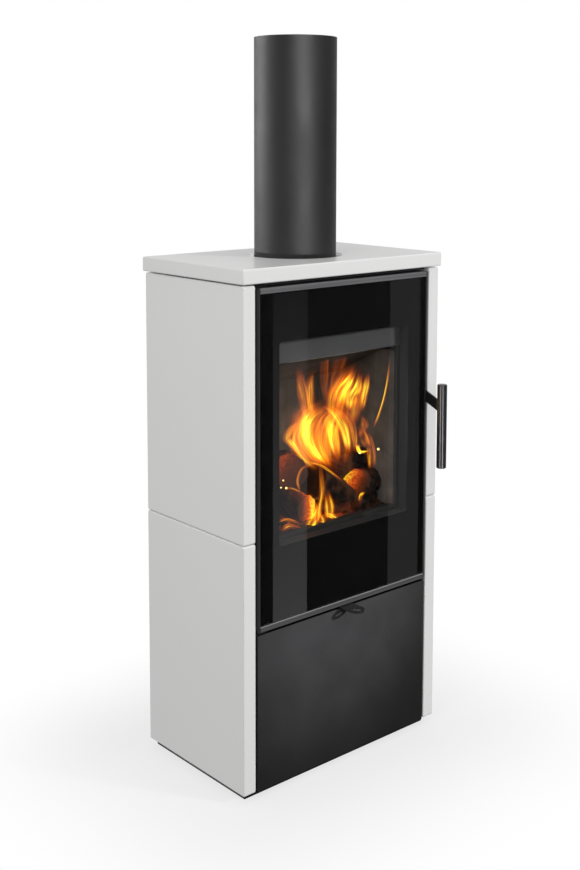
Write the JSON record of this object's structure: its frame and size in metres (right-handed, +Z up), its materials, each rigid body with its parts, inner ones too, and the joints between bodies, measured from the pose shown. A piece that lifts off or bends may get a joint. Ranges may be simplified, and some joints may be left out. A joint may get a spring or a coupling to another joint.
{
  "type": "tiled wood stove",
  "caption": "Free-standing wood stove clad with white ceramic slabs, with a printed glass door, a latch handle, a lower cover, an air lever and a flue pipe on top.",
  "frame": {"origin": "on the floor, on the axis of the flue pipe", "axes": "+Z up along the flue, +X to the right of somebody who stands in front, -Y the front with the glass door"},
  "size_m": [0.4774, 0.3335, 1.31],
  "materials": {
    "ceramic_glaze": "white glaze, satin gloss",
    "charcoal_paint": "heat-resistant charcoal paint, matte",
    "black_steel": "black paint, matte",
    "cast_iron": "as cast, blackened",
    "brushed_trim": "brushed, dark",
    "zinc_sheet": "zinc-plated sheet",
    "fire_lining": "rough fired lining",
    "rope_seal": "braided glass-fibre rope",
    "printed_glass": "clear in the window, black print round it",
    "magnet_body": "moulded"
  },
  "bodies": {
    "root": {"ceramic_top": "ceramic_glaze", "tile_left_lower": "ceramic_glaze", "tile_left_upper": "ceramic_glaze", "tile_right_lower": "ceramic_glaze", "tile_right_upper": "ceramic_glaze", "body_floor": "charcoal_paint", "side_panel_left": "charcoal_paint", "side_panel_right": "charcoal_paint", "back_panel": "charcoal_paint", "front_frame": "charcoal_paint", "top_plate": "charcoal_paint", "flue_pipe": "charcoal_paint", "rear_heat_shield": "charcoal_paint", "air_inlet_spigot": "charcoal_paint", "base_tray": "black_steel", "firebox_shell": "black_steel", "hearth_plate": "black_steel", "air_wash_bar": "black_steel", "hinge_bracket_top": "black_steel", "hinge_bracket_middle": "black_steel", "hinge_bracket_bottom": "black_steel", "grate": "cast_iron", "log_retainer": "cast_iron", "flue_collar": "cast_iron", "latch_keeper": "cast_iron", "levelling_foot_front_left": "zinc_sheet", "levelling_foot_front_right": "zinc_sheet", "levelling_foot_rear_left": "zinc_sheet", "levelling_foot_rear_right": "zinc_sheet", "tile_rail_left_lower": "zinc_sheet", "tile_rail_left_upper": "zinc_sheet", "tile_rail_right_lower": "zinc_sheet", "tile_rail_right_upper": "zinc_sheet", "ash_pan": "zinc_sheet", "air_box": "zinc_sheet", "hearth_brick_left": "fire_lining", "hearth_brick_right": "fire_lining", "hearth_brick_front": "fire_lining", "hearth_brick_rear": "fire_lining", "lining_left": "fire_lining", "lining_right": "fire_lining", "lining_back": "fire_lining", "smoke_baffle": "fire_lining", "magnet_catch": "magnet_body"},
    "door": {"door_frame": "charcoal_paint", "door_glass": "printed_glass", "glass_gasket": "rope_seal", "door_rope_seal": "rope_seal", "door_rail_top": "brushed_trim", "door_rail_bottom": "brushed_trim", "handle_bearing": "zinc_sheet"},
    "handle": {"handle_shaft": "black_steel", "latch_hook": "cast_iron", "handle_arm": "black_steel", "handle_bar": "black_steel"},
    "cover": {"lower_cover": "charcoal_paint", "strike_plate": "zinc_sheet"},
    "lever": {"air_lever": "brushed_trim"},
    "slide": {"air_slide": "zinc_sheet"}
  },
  "joints": [
    {"name": "door_hinge", "type": "hinge", "parent": "root", "child": "door", "pos_m": [-0.196, -0.132, 0.59], "axis": [0, 0, -1], "range_deg": [0, 100]},
    {"name": "handle_turn", "type": "hinge", "parent": "door", "child": "handle", "pos_m": [0.2, -0.1225, 0.6552], "axis": [-1, 0, 0], "range_deg": [0, 32]},
    {"name": "lower_cover_hinge", "type": "hinge", "parent": "root", "child": "cover", "pos_m": [-0.196, -0.132, 0.15], "axis": [0, 0, -1], "range_deg": [0, 95]},
    {"name": "air_lever_pivot", "type": "hinge", "parent": "root", "child": "lever", "pos_m": [0, -0.104, 0.2935], "axis": [0, 0, 1], "range_deg": [-18, 18]},
    {"name": "air_slide_travel", "type": "slide", "parent": "root", "child": "slide", "axis": [1, 0, 0], "range_m": [-0.0085, 0.0085]}
  ],
  "couplings": [
    {"joint": "air_slide_travel", "follows": "air_lever_pivot", "m_per_rad": -0.026}
  ]
}
